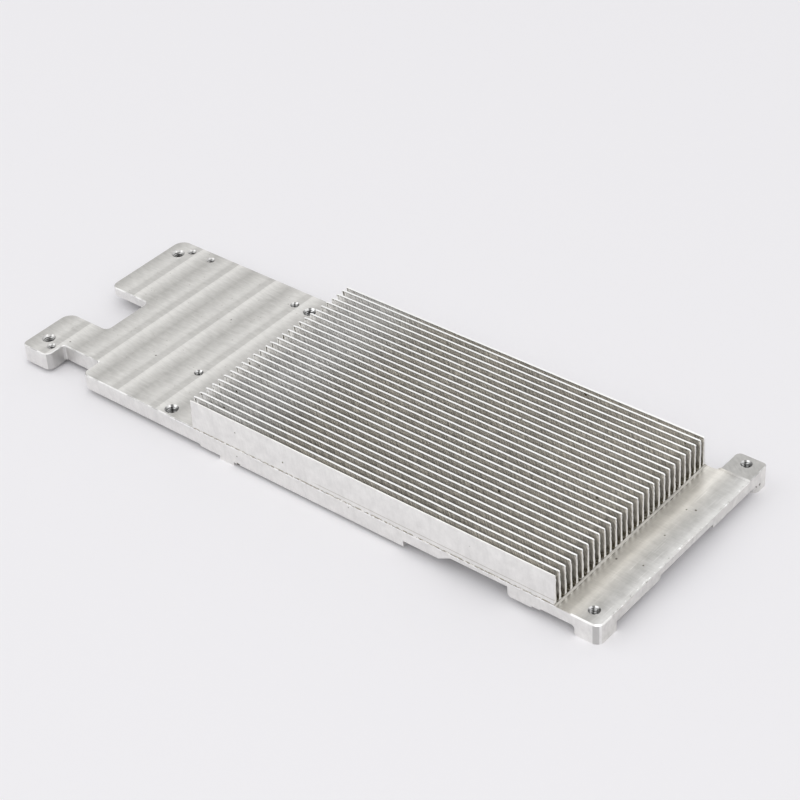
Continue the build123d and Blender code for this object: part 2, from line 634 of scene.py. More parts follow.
class Effect:
    """A shader node group, built once and placed in each material with its own values.

    An input whose default is None is a vector, and every other input is a number.
    """

    title = "Effect"
    inputs: dict[str, float | None] = {}
    outputs: Sequence[str] = ("Mask",)

    def __init__(self) -> None:
        """Makes the group's tree and lets the subclass fill it."""
        self.tree = bpy.data.node_groups.new(self.title, "ShaderNodeTree")
        add = self.tree.interface.new_socket
        for name, default in self.inputs.items():
            if default is None:
                add(name=name, in_out="INPUT", socket_type="NodeSocketVector")
            else:
                socket = add(name=name, in_out="INPUT", socket_type="NodeSocketFloat")
                socket.default_value = default
        for name in self.outputs:
            add(name=name, in_out="OUTPUT", socket_type="NodeSocketFloat")
        bench = Bench(self.tree)
        given = bench.node("NodeGroupInput").outputs
        target = bench.node("NodeGroupOutput").inputs
        results = self.build(bench, *(given[name] for name in self.inputs))
        for name, result in zip(self.outputs, results):
            bench.feed(target[name], result)

    def build(self, bench: Bench, *given: Socket) -> Sequence[Socket]:
        """Fills the group. Each effect has its own way.

        Args:
            bench: Adds nodes to the group.
            *given: The group's inputs, in order.

        Returns:
            What the group puts out, in order.
        """
        raise NotImplementedError

    def place(self, bench: Bench, **values: object) -> bpy.types.NodeOutputs:
        """Places the group in a material.

        Args:
            bench: Adds nodes to the material.
            **values: The group's inputs by name, with _ for a space.

        Returns:
            The group's outputs.
        """
        made = bench.node("ShaderNodeGroup", node_tree=self.tree)
        for name, value in values.items():
            bench.feed(made.inputs[name.replace("_", " ")], value)
        return made.outputs


class CutterPasses(Effect):
    """Sheen of a surface milled in passes across the plate, with the cutter's arcs in it."""

    title = "Cutter passes"
    inputs = {"Place": None, "First edge": 0.0, "Pass width": 0.0125, "Arc radius": 0.008}
    outputs = ("Sheen", "Arcs")
    profile: Stops = (
        (0.0, 0.86), (0.06, 0.95), (0.22, 0.50), (0.40, 0.10), (0.55, 0.34), (0.72, 0.68),
        (0.80, 0.62), (0.86, 0.34), (0.96, 0.36), (0.985, 0.40), (1.0, 0.86),
    )
    drift = Cloud((60, 12, 12), 1, reach=0.0007)
    arc_scale = (260, 2300)
    arc_lines = Cloud(1, 3, 0.65)
    arc_span = (0.3, 0.7)

    def build(
        self, bench: Bench, place: Socket, first: Socket, width: Socket, radius: Socket
    ) -> Sequence[Socket]:
        """Draws the profile of each pass, and the arcs in it.

        Args:
            bench: Adds nodes to the group.
            place: Coordinates in the object.
            first: Where along X the first pass begins.
            width: Width of a pass.
            radius: Radius of the cutter's arcs.

        Returns:
            The sheen and the arcs.
        """
        x, y, _ = bench.axes(place)
        shifted = bench.less(bench.plus(x, bench.stir(place, self.drift)), first)
        share = bench.math("FRACT", bench.over(shifted, width))
        off_middle = bench.times(bench.less(share, 0.5), width)
        square = bench.less(bench.times(radius, radius), bench.times(off_middle, off_middle))
        arc = bench.plus(y, bench.math("SQRT", square))
        scaled = (bench.times(value, scale) for value, scale in zip((x, arc), self.arc_scale))
        lines = bench.noise(bench.run("ShaderNodeCombineXYZ", *scaled), self.arc_lines)
        return bench.ramp(share, self.profile), bench.span(lines, *self.arc_span)


class Grain(Effect):
    """Streaks drawn out along one direction."""

    title = "Grain"
    inputs = {"Place": None, "Scale": None, "Sharpness": 0.3}
    outputs = ("Streak",)
    streaks = Cloud(1, 3, 0.6)
    hardest = 0.4

    def build(
        self, bench: Bench, place: Socket, scale: Socket, sharpness: Socket
    ) -> Sequence[Socket]:
        """Draws a stretched noise between two limits, closer where it is sharper.

        Args:
            bench: Adds nodes to the group.
            place: Coordinates in the object.
            scale: Scale along each axis, per metre.
            sharpness: How hard the streaks are, from 0 to 1.

        Returns:
            The streaks.
        """
        value = bench.noise(bench.stretched(place, scale), self.streaks)
        reach = bench.less(0.5, bench.times(sharpness, self.hardest))
        low, high = bench.less(0.5, reach), bench.plus(0.5, reach)
        return (bench.run("ShaderNodeMapRange", value, low, high),)


class Specks(Effect):
    """Small scattered spots, such as pits, dirt or burrs."""

    title = "Specks"
    inputs = {"Place": None, "Density": 800.0, "Size": 0.2, "Share": 0.2}
    full_share = 0.5

    def build(
        self, bench: Bench, place: Socket, density: Socket, size: Socket, share: Socket
    ) -> Sequence[Socket]:
        """Draws a share of the cells of a Voronoi texture.

        Args:
            bench: Adds nodes to the group.
            place: Coordinates in the object.
            density: How many cells there are in a metre.
            size: The specks' radius as a share of a cell.
            share: The share of the cells that have one.

        Returns:
            The mask.
        """
        cells = bench.node("ShaderNodeTexVoronoi")
        bench.feed(cells.inputs["Vector"], place)
        bench.feed(cells.inputs["Scale"], density)
        full = bench.times(size, self.full_share)
        near = bench.run("ShaderNodeMapRange", cells.outputs["Distance"], size, full)
        lot = bench.run("ShaderNodeSeparateColor", cells.outputs["Color"])
        return (bench.times(near, bench.math("LESS_THAN", lot, share)),)


class BrokenLine(Effect):
    """A thin line at one height that comes and goes along X, such as a seam or a scratch."""

    title = "Broken line"
    inputs = {"Place": None, "Height": 0.0, "Thickness": 0.0001, "Pieces": 900.0, "Share": 0.5}
    dashes = Cloud(1, 3, 0.6)
    row_scale = 9000
    end_steepness = 12.0
    limit_fall, limit_start = -0.5, 0.75
    rim_steepness = 2.0

    def build(
        self,
        bench: Bench,
        place: Socket,
        height: Socket,
        thickness: Socket,
        pieces: Socket,
        share: Socket,
    ) -> Sequence[Socket]:
        """Draws a band about the height, broken by a noise along X.

        Args:
            bench: Adds nodes to the group.
            place: Coordinates in the object.
            height: Height of the line.
            thickness: How far it reaches up and down.
            pieces: How many noise cells there are in a metre.
            share: How much of the line is there.

        Returns:
            The mask.
        """
        x, _, z = bench.axes(place)
        row = bench.times(height, self.row_scale)
        line = bench.run("ShaderNodeCombineXYZ", bench.times(x, pieces), row)
        value = bench.noise(line, self.dashes)
        wander = bench.times(bench.less(value, 0.5), thickness)
        off = bench.math("ABSOLUTE", bench.less(bench.plus(z, wander), height))
        band = bench.less(1.0, bench.over(off, thickness))
        limit = bench.math("MULTIPLY_ADD", share, self.limit_fall, self.limit_start)
        present = bench.clamp(bench.times(bench.less(value, limit), self.end_steepness))
        return (bench.times(present, bench.clamp(bench.times(band, self.rim_steepness))),)


class Spot(Effect):
    """One spot of dirt with a ragged rim, at a place of its own."""

    title = "Spot"
    inputs = {"Place": None, "Centre": None, "Radius": 0.0002}
    rag = Cloud(3500, reach=1.2)
    rim_span = (1.0, 0.7)

    def build(
        self, bench: Bench, place: Socket, centre: Socket, radius: Socket
    ) -> Sequence[Socket]:
        """Draws a distance from the centre, stirred by a noise.

        Args:
            bench: Adds nodes to the group.
            place: Coordinates in the object.
            centre: Middle of the spot.
            radius: Its radius.

        Returns:
            The mask.
        """
        offset = bench.node("ShaderNodeVectorMath", operation="DISTANCE")
        bench.feed(offset.inputs[0], place)
        bench.feed(offset.inputs[1], centre)
        reach = bench.over(offset.outputs["Value"], radius)
        stirred = bench.plus(reach, bench.stir(place, self.rag))
        return (bench.span(stirred, *self.rim_span),)


class Effects:
    """The effects that the materials share."""

    def __init__(self) -> None:
        """Builds each effect once."""
        self.passes = CutterPasses()
        self.grain = Grain()
        self.specks = Specks()
        self.lines = BrokenLine()
        self.spot = Spot()


class Finish:
    """A bare metal finish with a material of its own.

    Its relief is what a height of 1 stands for, in mm. Its dirt and then its spots lie over its
    colour.
    """

    title = "Metal"
    rough = 0.45
    metallic = 1.0
    relief = 0.0
    dirt: Sequence[Dirt] = ()
    spots: Sequence[tuple[Tone, Spots]] = ()

    def __init__(self, effects: Effects, drawing: Drawing) -> None:
        """Makes the material, and lays dirt and spots over the subclass's colour.

        Args:
            effects: The shared effects.
            drawing: The part's sizes.
        """
        self.effects = effects
        self.drawing = drawing
        self.material = bpy.data.materials.new(self.title)
        self.material.use_nodes = True
        tree = self.material.node_tree
        tree.nodes.clear()
        self.bench = Bench(tree)
        shader = self.bench.node("ShaderNodeBsdfPrincipled")
        self.shader = shader.inputs
        self.shader["Metallic"].default_value = self.metallic
        self.shader["Roughness"].default_value = self.rough
        output = self.bench.node("ShaderNodeOutputMaterial")
        self.bench.feed(output.inputs["Surface"], shader.outputs[0])
        self.place = self.bench.node("ShaderNodeTexCoord").outputs["Object"]
        colour = self.colour()
        for dirt in self.dirt:
            colour = self.scatter(colour, dirt)
        for tone, spots in self.spots:
            colour = self.dotted(colour, tone, spots)
        self.bench.feed(self.shader["Base Color"], colour)

    def colour(self) -> Socket:
        """Colours the metal. Each finish has its own way.

        Returns:
            The colour's socket.
        """
        raise NotImplementedError

    def grain(self, place: Socket, streaks: Streaks) -> Socket:
        """Adds streaks on the given coordinates, from 0 to 1."""
        values = {"Place": place, "Scale": streaks.scale, "Sharpness": streaks.sharpness}
        return self.effects.grain.place(self.bench, **values)[0]

    def scatter(self, colour: Socket, dirt: Dirt) -> Socket:
        """Scatters specks over a colour.

        Args:
            colour: The colour underneath.
            dirt: The specks.

        Returns:
            The colour with the specks on it.
        """
        values = {"Density": dirt.density, "Size": dirt.size, "Share": dirt.share}
        mask = self.effects.specks.place(self.bench, Place=self.place, **values)[0]
        return self.bench.blend(self.bench.times(mask, dirt.cover), colour, dirt.tone)

    def dotted(self, colour: Socket, tone: Tone, spots: Spots) -> Socket:
        """Lays single spots over a colour.

        Args:
            colour: The colour underneath.
            tone: The spots' own colour.
            spots: Each spot's place on the drawing and its radius, in mm.

        Returns:
            The colour with the spots on it.
        """
        for x, y, z, radius in spots:
            values = {"Place": self.place, "Centre": at(x, y, z), "Radius": radius * MM}
            mask = self.effects.spot.place(self.bench, **values)[0]
            colour = self.bench.blend(mask, colour, tone)
        return colour

    def beyond(self, value: Socket, base: float, limits: Span) -> Socket:
        """Masks by the distance from a place.

        Args:
            value: The coordinate.
            base: Where the distance is 0, in metres.
            limits: The distances in mm at which the mask is 0 and 1.

        Returns:
            The mask's socket.
        """
        return self.bench.span(value, *(base + limit * MM for limit in limits))

    def emboss(self, height: Socket) -> None:
        """Gives the surface its relief.

        Args:
            height: The height, from 0 to 1.
        """
        bump = self.bench.node("ShaderNodeBump")
        bump.inputs["Strength"].default_value = 1.0
        bump.inputs["Distance"].default_value = self.relief * MM
        self.bench.feed(bump.inputs["Height"], height)
        self.bench.feed(self.shader["Normal"], bump.outputs[0])


class MilledTop(Finish):
    """Top of the plate, face milled in passes across it, with painted highlights at the neck's
    inner corners.
    """

    title = "Milled top"
    rough = 0.42
    relief = 0.007
    dark, light = Tone(0.42, 0.04), Tone(0.70, 0.03)
    first_edge, pass_width, arc_bend = 8.0, 12.55, 2.5
    arc_reach, arc_roughness = 0.24, 0.16
    cloud = Cloud(90, reach=0.24)
    mottle = Cloud((420, 1000, 400), 4, 0.65, reach=0.7)
    dirt = (Dirt(420, 0.12, 0.05, Tone(0.16, 0.1)), Dirt(1300, 0.3, 0.05, Tone(0.3, 0.1), 0.5))
    # Painted highlights: near-white spots at the neck's inner corners.
    painted_highlights: Spots = ((9.4, 5.3, 5.5, 0.45), (21.0, 5.4, 5.5, 0.45))
    spots = ((Tone(0.98), painted_highlights),)

    def colour(self) -> Socket:
        """Lays the passes, the arcs and a mottling over each other.

        Returns:
            The colour's socket.
        """
        bench = self.bench
        sheen, arcs = self.effects.passes.place(
            bench,
            Place=self.place,
            First_edge=along(self.first_edge),
            Pass_width=self.pass_width * MM,
            Arc_radius=self.pass_width * MM * self.arc_bend,
        )
        level = bench.plus(
            sheen,
            bench.swing(arcs, self.arc_reach),
            bench.stir(self.place, self.cloud),
            bench.stir(self.place, self.mottle),
        )
        bench.feed(self.shader["Roughness"], bench.swing(arcs, self.arc_roughness, self.rough))
        self.emboss(arcs)
        return bench.blend(level, self.dark, self.light)


class BrushedStrip(Finish):
    """End strip, milled in one pass along it, with painted sheen in bands beside the fins and at
    its edge, and painted glints on its worn edge.
    """

    title = "Brushed strip"
    rough = 0.36
    relief = 0.01
    dark, light = Tone(0.34, 0.03), Tone(0.72, 0.01)
    warm, painted_glint, stain = Tone(1.0, 0.06), Tone(0.92, 0.0), Tone(0.12, 0.2)
    # Painted sheen across the strip's width: the brightness its tool marks give in the light,
    # darker beside the fins and bright at the edge.
    painted_sheen_bands: Stops = (
        (0.0, 0.10), (0.018, 0.40), (0.03, 0.22), (0.045, 0.76), (0.10, 0.70), (0.19, 0.64),
        (0.27, 0.66), (0.35, 0.84), (0.41, 0.77), (0.5, 0.48), (0.62, 0.27), (0.73, 0.29),
        (0.83, 0.40), (0.91, 0.66), (1.0, 0.70),
    )
    drift = Cloud((10, 40, 10), 1, reach=0.0012)
    streaks = Streaks((260, 2600, 200), 0.5, reach=0.24)
    scuffs = Streaks((1400, 60, 200), 0.4, reach=0.16)
    cloud = Cloud(320, 4, 0.6, reach=0.66)
    threads, thread_span = Cloud((3200, 90, 200)), (0.62, 0.72, 0.0, 0.3)
    warm_span = (0.3, 0.8, 0.9, 0.1)
    wear, edge_span = Cloud((1500, 700, 200), 3, 0.6), (0.93, 0.985)
    # The worn edge gets painted glints and real stains.
    worn = ((painted_glint, (0.575, 0.64)), (stain, (0.365, 0.31)))
    dirt = (Dirt(420, 0.13, 0.05, stain),)
    spots = (
        (
            stain,
            (
                (166.6, 42.0, 5.25, 0.32),
                (165.8, 31.3, 5.25, 0.24),
                (164.85, 41.05, 5.25, 0.2),
                (167.5, 20.8, 5.25, 0.24),
            ),
        ),
    )

    def colour(self) -> Socket:
        """Lays the painted sheen bands, the cutter's streaks and the worn edge with its painted
        glints over each other.

        Returns:
            The colour's socket.
        """
        bench = self.bench
        d, place = self.drawing, self.place
        x, _, _ = bench.axes(place)
        shifted = bench.less(bench.plus(x, bench.stir(place, self.drift)), along(d.strip_start))
        share = bench.over(shifted, (d.plate_length - d.strip_start) * MM)
        streaks = self.grain(place, self.streaks)
        level = bench.plus(
            bench.ramp(share, self.painted_sheen_bands),
            bench.swing(streaks, self.streaks.reach),
            bench.swing(self.grain(place, self.scuffs), self.scuffs.reach),
            bench.stir(place, self.cloud),
            bench.span(bench.noise(place, self.threads), *self.thread_span),
        )
        colour = bench.blend(level, self.dark, self.light)
        colour = bench.blend(bench.span(share, *self.warm_span), colour, self.warm, "MULTIPLY")
        edge, wear = bench.span(share, *self.edge_span), bench.noise(place, self.wear)
        for tone, limits in self.worn:
            colour = bench.blend(bench.times(edge, bench.span(wear, *limits)), colour, tone)
        self.emboss(streaks)
        return colour


class EarTop(Finish):
    """Top of the ear, matt and darker than the strip."""

    title = "Ear top"
    rough = 0.5
    dark, light = Tone(0.28, 0.03), Tone(0.54, 0.03)
    marks, mark_angle, mark_weight = Streaks((500, 1900, 300), 0.4), 35, 0.5
    cloud, cloud_weight = Cloud(500, 3), 0.6
    dirt = (Dirt(600, 0.2, 0.08, Tone(0.2, 0.1)),)

    def colour(self) -> Socket:
        """Lays fine slanting marks over a cloud.

        Returns:
            The colour's socket.
        """
        bench = self.bench
        marks = self.grain(bench.turned(self.place, self.mark_angle), self.marks)
        cloud = bench.times(bench.noise(self.place, self.cloud), self.cloud_weight)
        level = bench.plus(bench.times(marks, self.mark_weight), cloud)
        return bench.blend(level, self.dark, self.light)


class MilledSide(Finish):
    """Sides of the plate and the near fin's outer face, light and matt, with fine marks and painted
    highlights at the neck's inner corners.
    """

    title = "Milled side"
    rough = 0.42
    relief = 0.008
    dark, light = Tone(0.66, 0.02), Tone(0.98, 0.02)
    brown, chip, hole = Tone(0.34, 0.2), Tone(0.98, 0.0), Tone(0.06, 0.3)
    marks, mark_angle, mark_weight = Streaks((1500, 1500, 320), 0.3), 12, 0.28
    cloud = Cloud(420, 4, 0.6, reach=0.8)
    cloud_level = 0.36
    seam_height = 5.66
    lines = (
        Line(seam_height, 0.16, -0.1, 700.0, 0.62, brown),
        Line(6.7, 0.12, 0.35, 260.0, 0.9, brown, cover=0.55),
        Line(seam_height - 0.4, 0.24, -0.1, 1100.0, 0.62, chip),
        Line(seam_height - 0.2, 0.1, 0.45, 1500.0, 0.6, brown),
    )
    line_fade = (0.0, 4.0)
    dirt = (Dirt(420, 0.12, 0.05, Tone(0.2, 0.15)),)
    # A near-black spot at the side foot's right edge, and the painted highlights of the neck's
    # inner corners in the near-white chip tone.
    spots = ((hole, ((71.4, 0.0, 0.9, 0.6),)), (chip, MilledTop.painted_highlights))

    def draw(self, colour: Socket, line: Line) -> Socket:
        """Lays a broken line over a colour.

        Args:
            colour: The colour underneath.
            line: The line.

        Returns:
            The colour with the line on it.
        """
        bench, d = self.bench, self.drawing
        x, _, _ = bench.axes(self.place)
        after = self.beyond(x, along(d.fin_start + line.begin * d.fin_length), self.line_fade)
        before = bench.math("LESS_THAN", x, along(d.fin_end))
        mask = self.effects.lines.place(
            bench,
            Place=self.place,
            Height=above(line.height),
            Thickness=line.thickness * MM,
            Pieces=line.pieces,
            Share=line.share,
        )[0]
        return bench.blend(bench.times(mask, after, before, line.cover), colour, line.tone)

    def colour(self) -> Socket:
        """Lays fine upright marks, the seam and the scratches over a cloud.

        Returns:
            The colour's socket.
        """
        bench = self.bench
        marks = self.grain(bench.turned(self.place, self.mark_angle, "Y"), self.marks)
        cloud = bench.noise(self.place, self.cloud)
        cloud = bench.swing(cloud, self.cloud.reach, self.cloud_level)
        level = bench.plus(bench.times(marks, self.mark_weight), cloud)
        colour = bench.blend(level, self.dark, self.light)
        for line in self.lines:
            colour = self.draw(colour, line)
        self.emboss(marks)
        return colour


class EndSide(MilledSide):
    """Right side of the strip and the ear, scuffed, with painted shade that makes it a little
    darker than the near side and darkens the ear's foot.
    """

    title = "End side"
    dark, light = Tone(0.50, 0.03), Tone(1.0, 0.03)
    # Painted shade: near-black spots at the foot of the ear.
    spots = (
        (
            MilledSide.hole,
            ((171.0, 58.8, 1.1, 0.7), (171.0, 59.7, 1.6, 0.4), (171.0, 60.8, 1.9, 0.3)),
        ),
    )


class Seam(Finish):
    """Fine groove where the outer fins leave the plate, with oil and dirt in it."""

    title = "Seam"
    rough = 0.5
    dark, light = Tone(0.20, 0.2), Tone(0.80, 0.05)
    dashes, dash_span = Cloud((1000, 300, 300), 3, 0.6), (0.43, 0.53)

    def colour(self) -> Socket:
        """Lays dashes of dirt along the groove."""
        dashes = self.bench.span(self.bench.noise(self.place, self.dashes), *self.dash_span)
        return self.bench.blend(dashes, self.light, self.dark)


class PaintedShadeCorner(Finish):
    """Rounded corner with painted shade that makes it darker than the flat sides."""

    title = "Painted shade corner"
    rough = 0.4
    dark, light = Tone(0.50, 0.02), Tone(0.62, 0.02)
    blotches = Cloud((900, 900, 260))

    def colour(self) -> Socket:
        """Lays soft upright blotches of painted shade over the corner."""
        return self.bench.blend(self.bench.noise(self.place, self.blotches), self.dark, self.light)


class FinFlank(Finish):
    """Flanks of the fins, grey from the shaving tool, light at the tab end, browner beyond it, with
    painted shade deep in the gaps and just under the crowns.

    The limits of its dark tips and feet are distances in mm, along the fin from its end and upwards
    from its top.
    """

    title = "Fin flank"
    rough = 0.5
    metallic = 0.9
    relief = 0.02
    cool, warm, warm_span = Tone(1.0, 0.02), Tone(1.0, 0.07), (0.12, 0.32)
    chip, tear = Tone(0.10, 0.3), Tone(0.18, 0.25)
    greys: Stops = (
        (0.0, 0.95), (0.010, 0.93), (0.015, 0.88), (0.022, 0.825), (0.031, 0.785),
        (0.041, 0.725), (0.08, 0.735), (0.12, 0.75), (0.17, 0.697), (0.22, 0.628), (0.32, 0.595),
        (0.41, 0.612), (0.51, 0.592), (0.71, 0.602), (0.90, 0.637), (0.965, 0.64),
        (0.985, 0.72), (1.0, 0.76),
    )
    painted_gap_shade: Stops = (
        (0.0, 0.605), (0.5, 0.67), (0.64, 0.73), (0.6875, 0.76), (0.725, 0.84), (0.7625, 0.93),
        (0.80, 0.95), (0.8375, 0.915), (0.875, 0.835), (0.9125, 0.715), (0.94, 0.61),
        (1.0, 0.56),
    )
    shade_depth, shade_gain = 4.0, 1.2
    drift = Cloud((30, 900, 30), 1, reach=0.006)
    drift_growth, drift_most = 200, 10
    marks, mark_angle = Streaks((3600, 900, 420), 0.9, reach=0.4), 15
    cloud = Cloud((70, 500, 70), reach=0.12)
    slivers, sliver_span = Cloud((3000, 300, 500), 3, 0.7), (0.50, 0.55)
    tip_begin, tip_end, tip_rise = (0.10, 0.25), (0.8, 0.5), (-2.0, -1.4)
    swarf, swarf_span = Cloud(2200, 2, 0.6), (0.36, 0.46)
    foot_begin, foot_fall = (-1.6, -0.8), (-5.4, -7.0)
    dirt = (Dirt(330, 0.16, 0.05, chip),)
    spots = (
        (
            chip,
            (
                (65.1, 3.725, 12.2, 0.34),
                (63.4, 9.725, 12.3, 0.34),
                (82.1, 1.725, 13.0, 0.3),
                (157.25, 51.725, 13.0, 0.3),
                (144.8, 41.725, 13.1, 0.26),
                (144.6, 33.725, 13.05, 0.26),
                (129.5, 53.725, 12.95, 0.45),
                (158.9, 49.725, 13.15, 0.28),
            ),
        ),
    )

    def colour(self) -> Socket:
        """Lays the change along the fin and slanting tool marks, darkens them with painted shade by
        depth in the gap, and lays dark marks at both ends over them.

        Returns:
            The colour's socket.
        """
        bench = self.bench
        d, place = self.drawing, self.place
        x, _, z = bench.axes(place)
        start, end, top = along(d.fin_start), along(d.fin_end), above(d.fin_top)
        away = bench.times(bench.less(x, start), 1 / (end - start))
        loose = bench.math("MINIMUM", bench.times(away, self.drift_growth), self.drift_most)
        share = bench.plus(away, bench.times(bench.stir(place, self.drift), loose))
        marks = self.grain(bench.turned(place, self.mark_angle, "Y"), self.marks)
        grey = bench.plus(
            bench.ramp(share, self.greys),
            bench.swing(marks, self.marks.reach),
            bench.stir(place, self.cloud),
        )
        # Painted shade: the flank is darker deep in the gap between fins and right under the
        # crowns, lighter a little below them.
        lowest = above(d.fin_top - self.shade_depth)
        rise = bench.times(bench.less(z, lowest), 1 / (self.shade_depth * MM))
        grey = bench.times(grey, bench.times(bench.ramp(rise, self.painted_gap_shade), self.shade_gain))
        tint = bench.blend(bench.span(away, *self.warm_span), self.cool, self.warm)
        colour = bench.blend(1.0, grey, tint, "MULTIPLY")
        # Dark slivers high up on the flank, close to the fin's start.
        tip = bench.times(
            self.beyond(x, start, self.tip_begin),
            self.beyond(x, start, self.tip_end),
            self.beyond(z, top, self.tip_rise),
            bench.span(bench.noise(place, self.slivers), *self.sliver_span),
        )
        foot = bench.times(
            self.beyond(x, end, self.foot_begin),
            self.beyond(z, top, self.foot_fall),
            bench.span(bench.noise(place, self.swarf), *self.swarf_span),
        )
        self.emboss(marks)
        return bench.blend(foot, bench.blend(tip, colour, self.chip), self.tear)


class FinCrown(Finish):
    """Tops of the fins, cut bright, with small dark nicks."""

    title = "Fin crown"
    rough = 0.34
    dark, light = Tone(0.62, 0.03), Tone(0.87, 0.0)
    beads, bead_span = Streaks((900, 1400, 900), 0.55), (0.0, 0.35)
    dirt = (Dirt(500, 0.2, 0.03, Tone(0.14, 0.2)),)

    def colour(self) -> Socket:
        """Lays short dull beads along the bright edge."""
        level = self.bench.span(self.grain(self.place, self.beads), *self.bead_span)
        return self.bench.blend(level, self.dark, self.light)


class FinEnd(FinCrown):
    """Right ends of the fins, sawn off, with nicks all over."""

    title = "Fin end"
    rough = 0.4
    dark, light = Tone(0.60, 0.0), Tone(0.96, 0.0)


class FinStart(Finish):
    """Left ends of the fins, torn a little by the tool, cream with dark chips at their tips."""

    title = "Fin start"
    dark, dull, light = Tone(0.05, 0.2), Tone(0.58, 0.05), Tone(0.78, 0.05)
    cloud = Cloud(900, 3)
    chips, chip_span = Cloud(1300, 3, 0.7), (0.52, 0.44)
    tip_rise = (-1.8, -1.2)

    def colour(self) -> Socket:
        """Lays dark chips over the torn tip.

        Returns:
            The colour's socket.
        """
        bench = self.bench
        _, _, z = bench.axes(self.place)
        tip = self.beyond(z, above(self.drawing.fin_top), self.tip_rise)
        chips = bench.span(bench.noise(self.place, self.chips), *self.chip_span)
        colour = bench.blend(bench.noise(self.place, self.cloud), self.dull, self.light)
        return bench.blend(bench.times(tip, chips), colour, self.dark)


class FinFloor(Finish):
    """Foot of the fins, dull grey, with oil and swarf towards the strip."""

    title = "Fin floor"
    rough = 0.55
    metallic = 0.8
    light, dull, dark = Tone(0.62, 0.04), Tone(0.46, 0.06), Tone(0.07, 0.3)
    cloud, cloud_span = Cloud((200, 600, 200), 3), (0.35, 0.65)
    swarf, swarf_span, swarf_begin = Cloud(900, 3), (0.36, 0.54), (-5.0, -2.0)

    def colour(self) -> Socket:
        """Lays blotches over the grey floor, and swarf over its end.

        Returns:
            The colour's socket.
        """
        bench = self.bench
        x, _, _ = bench.axes(self.place)
        cloud = bench.span(bench.noise(self.place, self.cloud), *self.cloud_span)
        close = self.beyond(x, along(self.drawing.fin_end), self.swarf_begin)
        swarf = bench.span(bench.noise(self.place, self.swarf), *self.swarf_span)
        colour = bench.blend(cloud, self.light, self.dull)
        return bench.blend(bench.times(close, swarf), colour, self.dark)


class Bore(Finish):
    """Walls of the holes, with a painted reflection of each other in upright light and dark bands.
    """

    title = "Bore"
    rough = 0.3
    light, dark = Tone(0.98, 0.0), Tone(0.03, 0.05)
    haze, haze_ends, haze_most = Tone(0.55, 0.02), (0.08, 0.28), 0.6
    rim, rim_share = Tone(0.30, 0.02), 0.2
    # The painted reflection is turned to the camera's azimuth.
    turn = 41.75
    flattest = 0.05
    chatter = Cloud(2400, reach=0.24)
    painted_sheen_bands: Stops = (
        (0.0, 0.1), (0.08, 0.35), (0.2, 0.85), (0.33, 0.65), (0.42, 0.08), (0.55, 0.05),
        (0.62, 0.4), (0.7, 1.0), (0.8, 0.9), (0.88, 0.3), (1.0, 0.05),
    )

    def colour(self) -> Socket:
        """Lays painted reflection bands round the wall, fainter towards the tab, where the holes
        are shallow.

        Returns:
            The colour's socket.
        """
        bench = self.bench
        normal = bench.node("ShaderNodeNewGeometry").outputs["Normal"]
        side, _, lift = bench.axes(bench.turned(normal, -self.turn))
        flat = bench.math("MAXIMUM", bench.less(1.0, bench.times(lift, lift)), self.flattest)
        level = bench.over(side, bench.math("SQRT", flat))
        round_wall = bench.math("MULTIPLY_ADD", level, -0.5, 0.5)
        round_wall = bench.plus(round_wall, bench.stir(self.place, self.chatter))
        colour = bench.blend(bench.ramp(round_wall, self.painted_sheen_bands), self.dark, self.light)
        x, _, _ = bench.axes(self.place)
        low, high = (along(share * self.drawing.plate_length) for share in self.haze_ends)
        colour = bench.blend(bench.span(x, low, high, self.haze_most, 0.0), colour, self.haze)
        mouth = bench.times(bench.math("MAXIMUM", lift, 0.0), self.rim_share)
        return bench.blend(mouth, colour, self.rim)


class CutEdgeAndHighlight(Finish):
    """Broken edges and chamfers, cut bright, and a painted highlight down the strip's rounded near
    corner.
    """

    title = "Cut edge and highlight"
    rough = 0.3
    dark, light = Tone(0.74, 0.02), Tone(0.95, 0.01)
    cloud = Cloud(700)

    def colour(self) -> Socket:
        """Varies the brightness along the edge."""
        return self.bench.blend(self.bench.noise(self.place, self.cloud), self.dark, self.light)


class BrokenEdge(Finish):
    """Broken top edge of the plate, only a little lighter than the faces beside it."""

    title = "Broken edge"
    dark, light = Tone(0.44, 0.02), Tone(0.74, 0.01)
    cloud, cloud_span = Cloud(420, 3), (0.35, 0.65)

    def colour(self) -> Socket:
        """Varies the brightness along the edge."""
        worn = self.bench.span(self.bench.noise(self.place, self.cloud), *self.cloud_span)
        return self.bench.blend(worn, self.dark, self.light)


class PocketFace(Finish):
    """Underside, milled in pockets with a small cutter."""

    title = "Pocket face"
    rough = 0.44
    relief = 0.01
    dark, light = Tone(0.52, 0.03), Tone(0.72, 0.02)
    pass_width, arc_radius = 6.2, 4.2
    sheen_weight, arc_reach, arc_level = 0.7, 0.6, 0.15

    def colour(self) -> Socket:
        """Lays the narrower passes and arcs over each other.

        Returns:
            The colour's socket.
        """
        bench = self.bench
        sheen, arcs = self.effects.passes.place(
            bench,
            Place=self.place,
            First_edge=0.0,
            Pass_width=self.pass_width * MM,
            Arc_radius=self.arc_radius * MM,
        )
        arc_part = bench.swing(arcs, self.arc_reach, self.arc_level)
        self.emboss(arcs)
        return bench.blend(
            bench.plus(bench.times(sheen, self.sheen_weight), arc_part), self.dark, self.light
        )


